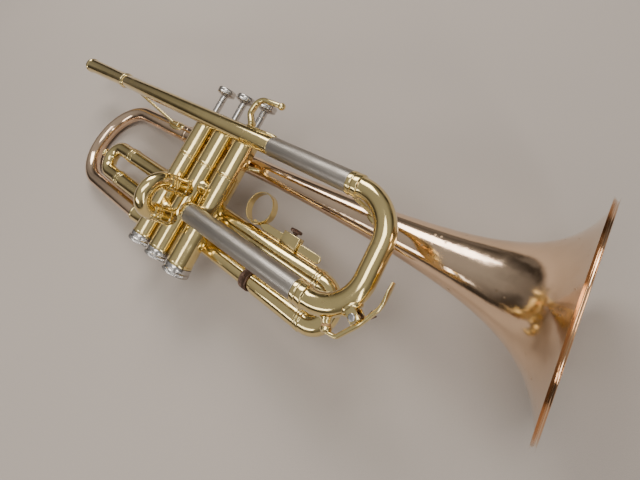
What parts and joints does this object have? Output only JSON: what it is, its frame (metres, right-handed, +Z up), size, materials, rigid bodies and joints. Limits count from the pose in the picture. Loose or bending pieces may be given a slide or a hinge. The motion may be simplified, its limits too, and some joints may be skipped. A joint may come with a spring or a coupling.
{
  "type": "trumpet",
  "caption": "Piston-valve trumpet lying on its left side: rose brass bell and bow, yellow brass valves and slides, satin nickel slide sleeves, water key and finger ring.",
  "frame": {"origin": "centre of the bounding box at the surface that the trumpet lies on", "axes": "+X along the leadpipe towards the bell, +Y towards the finger buttons, +Z up; the trumpet lies on its left side, settled on its bell rim, its bow and its bottom cap edge"},
  "size_m": [0.4818, 0.1664, 0.122],
  "materials": {
    "lacquered_brass": "polished yellow brass under clear lacquer",
    "rose_brass": "polished rose brass under clear lacquer",
    "satin_nickel": "nickel silver brushed along the tube",
    "polished_steel": "ground and plated steel",
    "dark_knurled_metal": "dark knurled screw heads",
    "pearl_inlay": "polished pearl inlay"
  },
  "bodies": {
    "trumpet_body": {"valve_casing_1": "lacquered_brass", "bottom_cap_1": "satin_nickel", "top_cap_1": "satin_nickel", "valve_spring_1": "polished_steel", "valve_casing_2": "lacquered_brass", "bottom_cap_2": "satin_nickel", "top_cap_2": "satin_nickel", "valve_spring_2": "polished_steel", "valve_casing_3": "lacquered_brass", "bottom_cap_3": "satin_nickel", "top_cap_3": "satin_nickel", "valve_spring_3": "polished_steel", "casing_bridge_1_2": "lacquered_brass", "casing_bridge_2_3": "lacquered_brass", "mouthpiece_receiver": "lacquered_brass", "leadpipe": "lacquered_brass", "upper_outer_slide": "satin_nickel", "lower_outer_slide": "satin_nickel", "third_valve_elbow": "lacquered_brass", "first_slide_upper_sleeve": "lacquered_brass", "first_slide_lower_sleeve": "lacquered_brass", "second_slide_upper_sleeve": "lacquered_brass", "second_slide_lower_sleeve": "lacquered_brass", "third_slide_upper_inner": "lacquered_brass", "third_slide_lower_inner": "lacquered_brass", "third_slide_stop": "dark_knurled_metal", "bell": "rose_brass", "bell_bow": "rose_brass", "bell_ferrule": "lacquered_brass", "rear_brace": "lacquered_brass", "front_brace": "lacquered_brass", "valve_brace": "lacquered_brass", "pinky_hook": "lacquered_brass"},
    "valve_1": {"piston_1": "polished_steel", "valve_stem_1": "satin_nickel", "finger_button_1": "satin_nickel", "pearl_1": "pearl_inlay"},
    "valve_2": {"piston_2": "polished_steel", "valve_stem_2": "satin_nickel", "finger_button_2": "satin_nickel", "pearl_2": "pearl_inlay"},
    "valve_3": {"piston_3": "polished_steel", "valve_stem_3": "satin_nickel", "finger_button_3": "satin_nickel", "pearl_3": "pearl_inlay"},
    "tuning_slide": {"tuning_upper_leg": "satin_nickel", "tuning_lower_leg": "satin_nickel", "tuning_crook": "lacquered_brass", "water_key_pin": "polished_steel"},
    "water_key": {"water_key_lever": "lacquered_brass"},
    "first_slide": {"first_slide": "lacquered_brass", "first_slide_knob": "lacquered_brass"},
    "second_slide": {"second_slide": "lacquered_brass"},
    "third_slide": {"third_slide_upper_outer": "lacquered_brass", "third_slide_lower_outer": "lacquered_brass", "third_slide_crook": "lacquered_brass", "ring_holder": "lacquered_brass"},
    "finger_ring": {"finger_ring": "lacquered_brass"},
    "ring_screw": {"ring_screw": "dark_knurled_metal"}
  },
  "joints": [
    {"name": "valve_1_press", "type": "slide", "parent": "trumpet_body", "child": "valve_1", "axis": [0.0237, -0.9833, -0.1807], "range_m": [0, 0.0165], "stiffness_N_per_m": 70, "springref_m": -0.03, "deforming": ["valve_spring_1"]},
    {"name": "valve_2_press", "type": "slide", "parent": "trumpet_body", "child": "valve_2", "axis": [0.0237, -0.9833, -0.1807], "range_m": [0, 0.0165], "stiffness_N_per_m": 70, "springref_m": -0.03, "deforming": ["valve_spring_2"]},
    {"name": "valve_3_press", "type": "slide", "parent": "trumpet_body", "child": "valve_3", "axis": [0.0237, -0.9833, -0.1807], "range_m": [0, 0.0165], "stiffness_N_per_m": 70, "springref_m": -0.03, "deforming": ["valve_spring_3"]},
    {"name": "main_tuning_slide", "type": "slide", "parent": "trumpet_body", "child": "tuning_slide", "axis": [0.9915, 0, 0.13], "range_m": [0, 0.028]},
    {"name": "water_key_press", "type": "hinge", "parent": "tuning_slide", "child": "water_key", "pos_m": [0.14762, -0.03553, 0.07956], "axis": [-0.1278, -0.1822, 0.9749], "range_deg": [0, 8], "stiffness_Nm_per_rad": 0.05, "springref_deg": -20.05},
    {"name": "first_slide_pull", "type": "slide", "parent": "trumpet_body", "child": "first_slide", "axis": [-0.9915, 0, -0.13], "range_m": [0, 0.022]},
    {"name": "second_slide_pull", "type": "slide", "parent": "trumpet_body", "child": "second_slide", "axis": [-0.1278, -0.1822, 0.9749], "range_m": [0, 0.008]},
    {"name": "third_slide_pull", "type": "slide", "parent": "trumpet_body", "child": "third_slide", "axis": [0.9915, 0, 0.13], "range_m": [0, 0.028]},
    {"name": "finger_ring_adjust", "type": "slide", "parent": "third_slide", "child": "finger_ring", "axis": [0.9915, 0, 0.13], "range_m": [-0.008, 0.01]},
    {"name": "ring_screw_turn", "type": "hinge", "parent": "third_slide", "child": "ring_screw", "pos_m": [0.07718, -0.01327, 0.0429], "axis": [-0.0237, 0.9833, 0.1807], "continuous": true}
  ]
}
